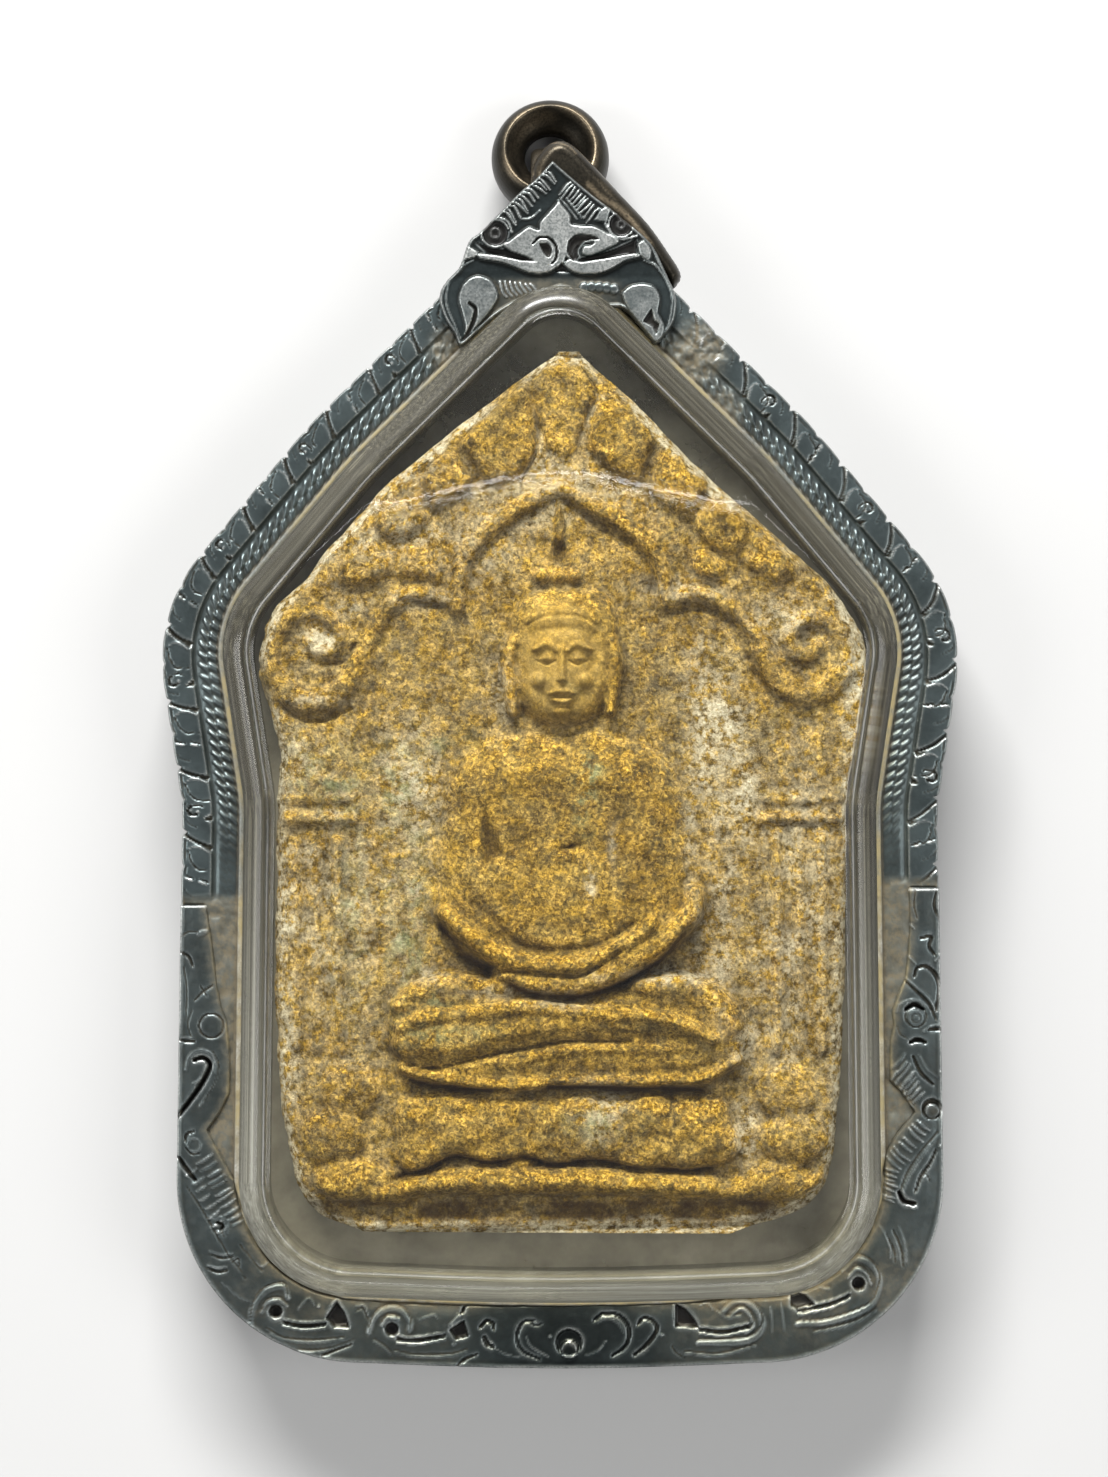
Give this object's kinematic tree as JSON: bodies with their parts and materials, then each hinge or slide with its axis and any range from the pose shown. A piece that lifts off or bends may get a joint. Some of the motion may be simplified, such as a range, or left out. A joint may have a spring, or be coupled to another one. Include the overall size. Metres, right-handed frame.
{
  "type": "buddha amulet pendant",
  "caption": "Pressed amulet tablet of a seated figure in a domed clear case, held by a cast silver frame with a leaf hanger and a thick swinging ring.",
  "frame": {"origin": "centre of the pendant's box in X and Y, on the table it lies on", "axes": "+X to the pendant's right in the picture, +Y along its height towards the ring, +Z out of the window towards the viewer"},
  "size_m": [0.0406, 0.0652, 0.009],
  "materials": {
    "oxidised_silver": "cast and oxidised silver, worn bright on its edges, with brown dirt in its recesses",
    "clear_acrylic": "clear acrylic, a little yellowed and scuffed",
    "pressed_powder": "pressed powder in ochre and brown with gold, cream and green patches",
    "dark_silver": "dark tarnished silver with bronze highlights"
  },
  "bodies": {
    "case": {"case_frame": "oxidised_silver", "front_window": "clear_acrylic", "back_window": "clear_acrylic", "tablet": "pressed_powder"},
    "ring": {"ring": "dark_silver"}
  },
  "joints": [
    {"name": "ring_swing", "type": "hinge", "parent": "case", "child": "ring", "pos_m": [-0.0005, 0.02748, 0.0026], "axis": [1, 0, 0], "range_deg": [0, 24]}
  ]
}
